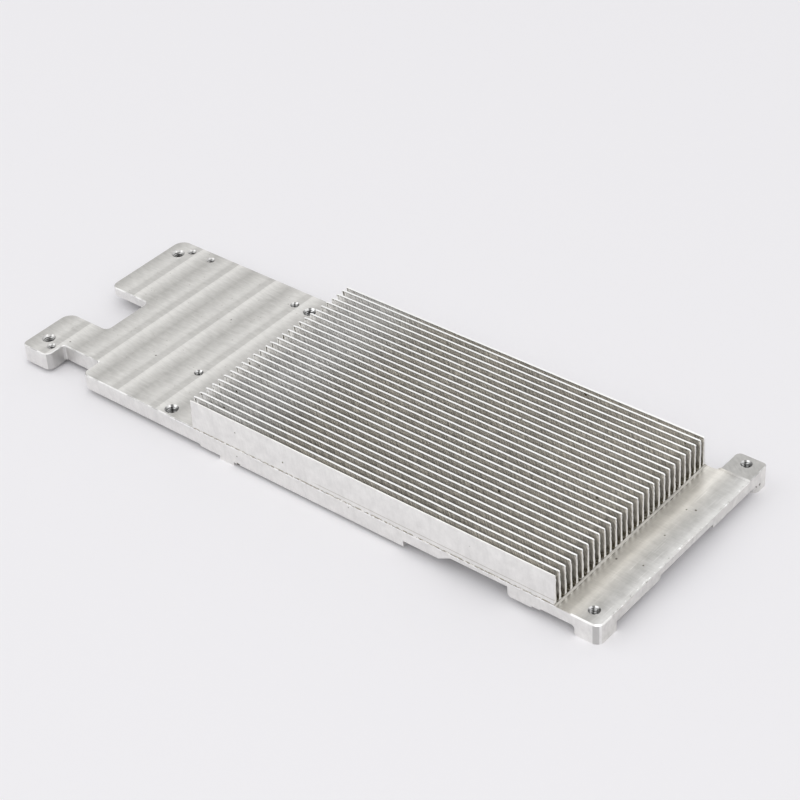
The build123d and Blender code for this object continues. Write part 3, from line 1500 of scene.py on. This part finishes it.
class Finishes:
    """All finishes of the part, each with its material."""

    kinds: tuple[type[Finish], ...] = (
        MilledTop,
        BrushedStrip,
        EarTop,
        MilledSide,
        EndSide,
        Seam,
        PaintedShadeCorner,
        FinFlank,
        FinCrown,
        FinEnd,
        FinStart,
        FinFloor,
        Bore,
        CutEdgeAndHighlight,
        BrokenEdge,
        PocketFace,
    )

    def __init__(self, drawing: Drawing) -> None:
        """Makes every finish for the part on the drawing."""
        effects = Effects()
        self.materials = {kind: kind(effects, drawing).material for kind in self.kinds}

    def dress(self, piece: Piece, choose: Callable[[Vector, Vector], type[Finish]]) -> None:
        """Gives each face of a piece its finish.

        Args:
            piece: The piece that is dressed.
            choose: Takes a face's centre and normal, and names its finish.
        """
        mesh = piece.data
        mesh.materials.clear()
        used: list[type[Finish]] = []
        for face in mesh.polygons:
            kind = choose(face.center, face.normal)
            if kind not in used:
                used.append(kind)
                mesh.materials.append(self.materials[kind])
            face.material_index = used.index(kind)


@dataclass
class Plate:
    """The plate, its feet and its pockets, taken from the CAD solid below the fins."""

    drawing: Drawing
    finishes: Finishes
    cut_depth: float = 0.002
    flat_angle: float = 0.6
    smooth_angle: float = 28.0
    level: float = 0.9
    slanted: float = 0.3
    steep: float = 0.5
    rightwards: float = 0.7
    chamfer_reach: float = 0.6
    step_reach: float = 0.1
    tab_painted_shade_turn: tuple[float, float] = (35.0, 100.0)
    painted_shade_turn: tuple[float, float] = (8.0, 52.0)
    painted_highlight_turn: tuple[float, float] = (52.0, 66.0)

    def make(self) -> Piece:
        """Makes the plate.

        Returns:
            The finished piece, which stands for the CAD node.
        """
        d = self.drawing
        piece = duplicate(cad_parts[NODE], "plate")
        with Workpiece(piece) as work:
            bpy.ops.mesh.customdata_custom_splitnormals_clear()
            work.everything()
            bpy.ops.mesh.remove_doubles(threshold=TOUCH)
            work.cut(at(0, 0, d.stand_height - self.cut_depth), UP, drop=True)
            work.everything()
            bpy.ops.mesh.dissolve_limited(angle_limit=math.radians(self.flat_angle))
            work.slice_along((along(d.fin_start), along(d.fin_end + d.fin_step / 2)))
        self.finishes.dress(piece, self.choose)
        smooth(piece, self.smooth_angle)
        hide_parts(NODE)
        hand_over(piece)
        return piece

    def choose(self, centre: Vector, normal: Vector) -> type[Finish]:
        """Names the finish of a face of the plate.

        Args:
            centre: The face's centre.
            normal: The face's normal.

        Returns:
            The finish.
        """
        d = self.drawing
        place = (centre - CORNER) / MM
        between = d.fin_start < place.x < d.fin_end
        in_hole = any(
            math.hypot(place.x - hole.x, place.y - hole.y) < hole.tap.mouth / 2
            for hole in d.holes
        )
        if in_hole and abs(normal.z) < self.level:
            return Bore
        if normal.z > self.level:
            high = place.z > d.strip_top + self.step_reach
            if between and high and place.y < d.plate_width:
                return FinFloor
            if place.x < d.fin_end:
                return MilledTop
            return EarTop if place.y > d.plate_width + d.ear_step else BrushedStrip
        if normal.z > self.slanted and place.z > d.strip_top - self.chamfer_reach:
            return Seam if between else self.choose_slope(place, normal)
        if normal.z < -self.slanted:
            return PocketFace
        return self.choose_side(place, normal)

    def choose_slope(self, place: Vector, normal: Vector) -> type[Finish]:
        """Names the finish of a chamfer, a broken edge or the strip's sloped step.

        Args:
            place: The face's centre on the drawing, in mm.
            normal: The face's normal.

        Returns:
            The finish.
        """
        d = self.drawing
        if place.z < d.strip_top:
            return CutEdgeAndHighlight
        drop = d.stand_height - d.strip_top
        off_ends = place.x - d.strip_start
        off_ear = place.y - d.plate_width - d.ear_step
        on_step = 0 < off_ends < drop or 0 < off_ear < drop and normal.y < -self.steep
        return BrushedStrip if on_step else BrokenEdge

    def choose_side(self, place: Vector, normal: Vector) -> type[Finish]:
        """Names the finish of an upright face.

        Args:
            place: The face's centre on the drawing, in mm.
            normal: The face's normal.

        Returns:
            The finish.
        """
        d = self.drawing
        turned = math.degrees(math.atan2(normal.x, -normal.y))
        on_tab = place.x < d.tab_length + d.neck_fillet
        # The tab's rounded corner, where it turns towards the right, gets painted shade.
        if on_tab and self.tab_painted_shade_turn[0] < turned < self.tab_painted_shade_turn[1]:
            return PaintedShadeCorner
        # On the strip's rounded near corner, one band of faces gets painted shade and the next a
        # painted highlight.
        if place.x > d.plate_length - d.strip_corner and place.y < d.strip_corner:
            if self.painted_shade_turn[0] < turned < self.painted_shade_turn[1]:
                return PaintedShadeCorner
            # This band of the corner gets a painted highlight.
            if self.painted_highlight_turn[0] <= turned < self.painted_highlight_turn[1]:
                return CutEdgeAndHighlight
        at_end = normal.x > self.rightwards and place.x > d.fin_end
        return EndSide if at_end else MilledSide


@dataclass
class FinForm:
    """Cross-section of one kind of fin, in mm, about its own near root corner."""

    name: str
    root: float
    height: float
    near_slant: float = 0.0
    far_slant: float = 0.0
    near_round: bool = True
    far_round: bool = True
    end_radius: float = 0.0


@dataclass(frozen=True)
class Rag:
    """A noise along a fin: its scale per metre, how far a seed moves it, and its layer."""

    scale: float
    step: float
    layer: float

    def place(self, value: float, seed: int) -> Vector:
        """Gives the place in the noise for a coordinate of the fin with a seed."""
        return Vector((value * self.scale, seed * self.step, self.layer))


@dataclass
class FinComb:
    """The fins: one full fin modelled once and copied, and a thin one at each side.

    Its sizes are in mm: how finely a fin is cut, and how far the shaving tool bent its ends.
    """

    drawing: Drawing
    finishes: Finishes
    slices: int = 84
    start_cuts: tuple[float, ...] = (0.3, 0.65)
    end_cuts: tuple[float, ...] = (0.6, 0.25)
    height_cuts: tuple[float, ...] = (0.35, 0.6, 0.9, 1.25, 1.7, 2.2, 2.8, 3.5, 4.3, 5.2, 6.2)
    cut_reach: float = 2.4
    root_steps: tuple[float, ...] = (0.45, 0.12, 0.0)
    bury: float = 0.04
    crown_break: float = 0.08
    crown_facets: int = 2
    most_break: float = 0.25
    crosswise: float = 0.2
    corner_reach: float = 0.01
    end_facets: int = 3
    still_foot: float = 0.06
    lean: float = 0.05
    sway: float = 0.05
    sway_rag: Rag = Rag(55, 7.31, 0.0)
    ripple: float = 0.025
    ripple_scale: float = 5.3
    dip: float = 0.15
    dip_start: float = 0.8
    dip_rag: Rag = Rag(260, 3.7, 9.0)
    hook: float = 0.12
    hook_spread: tuple[float, float] = (0.5, 1.1)
    hook_start: float = 0.82
    hook_bend: float = 1.5
    hook_reach: float = 1.0
    curl: float = 0.2
    torn_start: float = 0.22
    start_rag: Rag = Rag(900, 5.1, 2.0)
    torn_reach: float = 0.7
    torn_end: float = 0.1
    end_rag: Rag = Rag(2300, 2.3, 5.0)
    pinch: float = 0.12
    burr: float = 0.13
    crown_level: float = 0.6
    crown_above: float = 2.0
    steep: float = 0.5
    sawn: float = 0.8
    near_seed: int = 1
    first_seed: int = 10
    far_seed: int = 99
    smooth_angle: float = 40.0

    def model(self, form: FinForm) -> Piece:
        """Shapes one fin with its near root corner at the plate's near side.

        Args:
            form: Its cross-section.

        Returns:
            The fin, straight and whole.
        """
        d = self.drawing
        foot = d.stand_height + d.fin_root_radius
        top = d.stand_height + form.height
        piece = start_block(form.name, at(d.fin_start, 0, foot), at(d.fin_end, form.root, top))
        high, right = above(top), along(d.fin_end)
        corner = (form.end_radius + self.corner_reach) * MM
        lowest = above(foot) + TOUCH
        slants = form.near_slant + form.far_slant

        def at_top(mid: Vector) -> bool:
            """Tells whether an edge lies in the top."""
            return abs(mid.z - high) < TOUCH

        with Workpiece(piece) as work:
            self.flare(work, form)
            sides = ((form.near_slant, across(0)), (-form.far_slant, across(form.root)))
            for slant, side in sides:
                if slant:
                    work.edges(
                        lambda mid, way: at_top(mid)
                        and abs(way.x) > AXIAL
                        and abs(mid.y - side) < TOUCH
                    )
                    work.move(slant * MM)
            if form.end_radius:
                work.edges(
                    lambda mid, way: at_top(mid)
                    and abs(way.y) > AXIAL
                    and abs(mid.x - right) < TOUCH
                )
                work.bevel(form.end_radius, self.end_facets)
            work.edges(
                lambda mid, way: abs(way.y) < self.crosswise
                and mid.z > lowest
                and (mid.z > high - corner or mid.x > right - corner)
            )
            most = self.most_break * (form.root - slants)
            work.bevel(min(self.crown_break, most), self.crown_facets)
            self.slice_up(work, top)
        return piece

    def flare(self, work: Workpiece, form: FinForm) -> None:
        """Draws the foot down to the plate along its rounded root.

        Args:
            work: The fin in edit mode.
            form: Its cross-section.
        """
        d = self.drawing
        radius = d.fin_root_radius
        middle = across(form.root / 2)

        def pick_foot(height: float) -> None:
            """Selects the fin's underside at a height over the plate."""
            level = above(d.stand_height + height)
            work.faces(
                lambda centre, normal: normal.z < -AXIAL and abs(centre.z - level) < TOUCH
            )

        height, spread = radius, 0.0
        pick_foot(height)
        for share in self.root_steps:
            lower = radius * share
            wider = radius - math.sqrt(max(radius**2 - (radius - lower) ** 2, 0.0))
            work.pull((lower - height) * MM)
            low = above(d.stand_height + lower)
            for turn, rounded in ((-1, form.near_round), (1, form.far_round)):
                if rounded:
                    work.edges(
                        lambda mid, way: abs(mid.z - low) < TOUCH
                        and abs(way.x) > AXIAL
                        and (mid.y - middle) * turn > 0
                    )
                    work.move(turn * (wider - spread) * MM)
            height, spread = lower, wider
            pick_foot(height)
        work.pull(-self.bury * MM)

    def slice_up(self, work: Workpiece, top: float) -> None:
        """Cuts the fin into slices, closer at its ends, so that it can be bent.

        Args:
            work: The fin in edit mode.
            top: Height of its top in mm.
        """
        d = self.drawing
        step = d.fin_length / self.slices
        places = [d.fin_start + step * k for k in range(1, self.slices)]
        places += [d.fin_start + inset for inset in self.start_cuts]
        places += [d.fin_end - inset for inset in self.end_cuts]
        work.slice_along([along(x) for x in places])
        left, right = along(d.fin_start + self.cut_reach), along(d.fin_end - self.cut_reach)
        for depth in self.height_cuts:
            work.faces(lambda centre, normal: centre.x < left or centre.x > right)
            work.cut(at(0, 0, top - depth), UP)

    def weather(self, piece: Piece, form: FinForm, seed: int) -> None:
        """Bends a fin a little and leaves its ends ragged, as the shaving tool does.

        Args:
            piece: The fin.
            form: Its cross-section.
            seed: Number that makes the fin differ from the others.
        """
        d = self.drawing
        draw = random.Random(seed)
        left, right = along(d.fin_start), along(d.fin_end)
        root, top = above(d.stand_height), above(d.stand_height + form.height)
        lean = draw.uniform(-self.lean, self.lean)
        hook = self.hook * draw.uniform(*self.hook_spread)
        curl = draw.uniform(0.0, self.curl)
        sides = [corner.co.y for corner in piece.data.vertices]
        middle = (min(sides) + max(sides)) / 2
        for corner in piece.data.vertices:
            co = corner.co
            up = (co.z - root) / (top - root)
            if up < self.still_foot:
                continue
            run = self.sway_rag.place(co.x, seed)
            sway = noise.noise(run) * self.sway
            sway += noise.noise(run * self.ripple_scale) * self.ripple
            co.y += (sway + lean / 2) * MM * up
            dip = abs(noise.noise(self.dip_rag.place(co.x, seed))) * self.dip
            co.z -= dip * MM * max(up - self.dip_start, 0)
            start = 1 - min((co.x - left) / (self.hook_reach * MM), 1)
            if start > 0:
                rag = noise.noise(self.start_rag.place(co.z, seed).yxz)
                lift = max((up - self.hook_start) / (1 - self.hook_start), 0)
                lift **= self.hook_bend
                co.x -= start * (hook * lift + self.torn_start * rag) * MM
                co.y -= start * curl * lift * MM
            stop = 1 - min((right - co.x) / (self.torn_reach * MM), 1)
            if stop > 0:
                rag = noise.noise(self.end_rag.place(co.z, seed).yxz)
                pinch = self.pinch if co.y < middle else self.burr * rag
                co.x += stop * self.torn_end * rag * MM
                co.y += stop * pinch * MM

    def choose(self, centre: Vector, normal: Vector) -> type[Finish]:
        """Names the finish of a face of a fin.

        Args:
            centre: The face's centre.
            normal: The face's normal.

        Returns:
            The finish.
        """
        d = self.drawing
        place = (centre - CORNER) / MM
        if normal.z > self.crown_level and place.z > d.stand_height + self.crown_above:
            return FinCrown if place.y > d.near_fin_root else MilledSide
        if normal.x < -self.steep:
            return FinStart
        if normal.x > self.sawn:
            return FinEnd
        near = place.y < d.fin_thickness and normal.y < -self.steep
        far = place.y > d.plate_width - d.fin_thickness and normal.y > self.steep
        return MilledSide if near or far else FinFlank

    def make(self) -> list[Piece]:
        """Makes every fin.

        Returns:
            The fins, from the near side to the far side.
        """
        d = self.drawing
        near = FinForm(
            "fin_near",
            d.near_fin_root,
            d.fin_height - d.near_fin_drop,
            near_slant=d.near_fin_slant,
            near_round=False,
        )
        full = FinForm(
            "fin_pattern",
            d.fin_thickness,
            d.fin_height,
            far_slant=d.fin_slant,
            end_radius=d.fin_end_radius,
        )
        far = FinForm(
            "fin_far",
            d.far_fin_root,
            d.fin_height,
            far_slant=d.far_fin_slant,
            far_round=False,
            end_radius=d.fin_end_radius,
        )
        piece = self.model(near)
        self.weather(piece, near, self.near_seed)
        made = [piece]
        pattern = self.model(full)
        for k in range(d.fin_count):
            piece = duplicate(pattern, f"fin_{k + 1:02d}")
            shift = (d.first_fin + k * d.fin_pitch - d.fin_thickness / 2) * MM
            piece.data.transform(Matrix.Translation((0, shift, 0)))
            self.weather(piece, full, self.first_seed + k)
            made.append(piece)
        discard(pattern)
        piece = self.model(far)
        piece.data.transform(Matrix.Translation((0, (d.plate_width - d.far_fin_root) * MM, 0)))
        self.weather(piece, far, self.far_seed)
        made.append(piece)
        for piece in made:
            self.finishes.dress(piece, self.choose)
            smooth(piece, self.smooth_angle)
            hand_over(piece)
        return made


@dataclass
class Threads:
    """Thread crests inside the tapped holes, one pattern for each size. Sizes are in mm."""

    drawing: Drawing
    finishes: Finishes
    crest: float = 0.128
    length: float = 5.4
    clearance: float = 0.15
    run_out: float = 0.3
    beside: float = 0.62
    below: float = -2.0
    usual_floor: float = 1.0
    steps: int = 20
    smooth_angle: float = 50.0

    def model(self, tap: Tap) -> Piece:
        """Winds one thread about the frame's Z axis, downwards from the origin.

        Args:
            tap: The size of the hole.

        Returns:
            The thread.
        """
        centre = (tap.core / 2 * MM, 0, 0)
        quarter = math.radians(90)
        bpy.ops.object.select_all(action="DESELECT")
        bpy.ops.mesh.primitive_circle_add(
            vertices=3, radius=self.crest * MM, location=centre, rotation=(quarter, 0, 0)
        )
        piece = bpy.context.object
        piece.name = piece.data.name = f"thread_{tap.name}"
        settle(piece)
        with Workpiece(piece) as work:
            work.everything()
            bpy.ops.transform.rotate(value=quarter, orient_axis="Y", center_override=centre)
        apply_modifier(
            piece,
            "SCREW",
            axis="Z",
            screw_offset=-tap.pitch * MM,
            iterations=int(self.length / tap.pitch),
            steps=self.steps,
            render_steps=self.steps,
            use_merge_vertices=False,
        )
        with Workpiece(piece) as work:
            work.everything()
            bpy.ops.mesh.fill_holes(sides=3)
            work.everything()
            bpy.ops.mesh.normals_make_consistent(inside=False)
        return piece

    def floor_under(self, plate: Piece, hole: Hole) -> float:
        """Finds the underside beside a hole.

        Args:
            plate: The finished plate.
            hole: The hole.

        Returns:
            Height of the underside in metres.
        """
        start = at(hole.x + hole.tap.core * self.beside, hole.y, self.below)
        hit, place, _, _ = plate.ray_cast(start, UP)
        return place.z if hit else above(self.usual_floor)

    def make(self, plate: Piece) -> list[Piece]:
        """Makes the thread of every hole.

        Args:
            plate: The finished plate, which says how deep each hole is.

        Returns:
            The threads.
        """
        made = []
        patterns = {tap: self.model(tap) for tap in Tap}
        for hole in self.drawing.holes:
            tap = hole.tap
            piece = duplicate(patterns[tap], f"thread_{hole.name}")
            top = hole.top - (tap.mouth - tap.core) / 2 - tap.pitch * self.run_out
            piece.data.transform(Matrix.Translation(at(hole.x, hole.y, top)))
            bottom = self.floor_under(plate, hole) + self.clearance * MM
            with Workpiece(piece) as work:
                work.everything()
                work.cut(Vector((0, 0, bottom)), -UP, drop=True)
            self.finishes.dress(piece, lambda centre, normal: Bore)
            smooth(piece, self.smooth_angle)
            hand_over(piece)
            made.append(piece)
        for pattern in patterns.values():
            discard(pattern)
        return made


@dataclass(frozen=True)
class Lamp:
    """A soft square lamp: where it hangs and its side in metres, and its power in watts."""

    name: str
    place: Triple
    side: float
    power: float


@dataclass
class Studio:
    """Pale floor, soft light and a camera at the photograph's viewing angle."""

    lens: float = 95.8
    sensor: float = 36.0
    azimuth: float = 41.75
    elevation: float = 36.98
    roll: float = -4.03
    clip: tuple[float, float] = (0.01, 20.0)
    camera_place: Triple = (0.26602, -0.28933, 0.30112)
    floor_size: float = 6.0
    floor_colour: Colour = (0.885, 0.875, 0.90, 1.0)
    floor_rough: float = 0.9
    floor_shine: float = 0.1
    sky: float = 0.64
    sky_colour: Colour = (1.0, 1.0, 1.0, 1.0)
    lamps: tuple[Lamp, ...] = (
        Lamp("key lamp", (-1.0, -0.55, 1.2), 1.5, 5.2),
        Lamp("front lamp", (0.9, -0.8, 1.3), 1.6, 8.4),
        Lamp("back lamp", (0.1, 1.2, 1.0), 1.8, 3.0),
    )

    def make_floor(self) -> None:
        """Lays the floor, which isn't part of the object."""
        bpy.ops.object.select_all(action="DESELECT")
        bpy.ops.mesh.primitive_plane_add(size=self.floor_size, location=(0, 0, 0))
        floor = bpy.context.object
        floor.name = floor.data.name = "floor"
        material = bpy.data.materials.new("Pale floor")
        material.use_nodes = True
        shader = material.node_tree.nodes["Principled BSDF"].inputs
        shader["Base Color"].default_value = self.floor_colour
        shader["Roughness"].default_value = self.floor_rough
        shader["Specular IOR Level"].default_value = self.floor_shine
        floor.data.materials.append(material)

    def hang(self, lamp: Lamp) -> None:
        """Hangs a lamp so that it points at the part.

        Args:
            lamp: The lamp.
        """
        light = bpy.data.lights.new(lamp.name, "AREA")
        light.energy, light.size = lamp.power, lamp.side
        holder = bpy.data.objects.new(lamp.name, light)
        holder.location = lamp.place
        holder.rotation_euler = (-Vector(lamp.place)).to_track_quat("-Z", "Y").to_euler()
        bpy.context.scene.collection.objects.link(holder)

    def make_sky(self) -> None:
        """Gives the world an even white, which the metal shows at full strength."""
        world = bpy.data.worlds.new("Studio")
        world.use_nodes = True
        bench = Bench(world.node_tree)
        rays = bench.node("ShaderNodeLightPath").outputs
        seen = bench.math("MAXIMUM", rays["Is Camera Ray"], rays["Is Glossy Ray"])
        seen = bench.math("MAXIMUM", seen, rays["Is Transmission Ray"])
        background = world.node_tree.nodes["Background"].inputs
        background["Color"].default_value = self.sky_colour
        strength = bench.math("MULTIPLY_ADD", seen, 1 - self.sky, self.sky)
        bench.feed(background["Strength"], strength)
        bpy.context.scene.world = world

    def make_camera(self) -> None:
        """Puts the camera where the photograph was taken from."""
        camera = bpy.data.cameras.new("camera")
        camera.lens, camera.sensor_width = self.lens, self.sensor
        camera.clip_start, camera.clip_end = self.clip
        holder = bpy.data.objects.new("camera", camera)
        turn = (
            Matrix.Rotation(math.radians(self.azimuth), 4, "Z")
            @ Matrix.Rotation(math.radians(90 - self.elevation), 4, "X")
            @ Matrix.Rotation(math.radians(self.roll), 4, "Z")
        )
        holder.matrix_world = Matrix.Translation(self.camera_place) @ turn
        bpy.context.scene.collection.objects.link(holder)
        bpy.context.scene.camera = holder

    def make(self) -> None:
        """Sets up the whole studio."""
        self.make_floor()
        for lamp in self.lamps:
            self.hang(lamp)
        self.make_sky()
        self.make_camera()
        bpy.context.scene.view_settings.view_transform = "Standard"


def main() -> None:
    """Builds the dressed part and its studio."""
    logging.basicConfig(level=logging.INFO, format="%(name)s: %(message)s")
    drawing = Drawing()
    finishes = Finishes(drawing)
    plate = Plate(drawing, finishes).make()
    FinComb(drawing, finishes).make()
    Threads(drawing, finishes).make(plate)
    Studio().make()


if __name__ == "__main__":
    main()
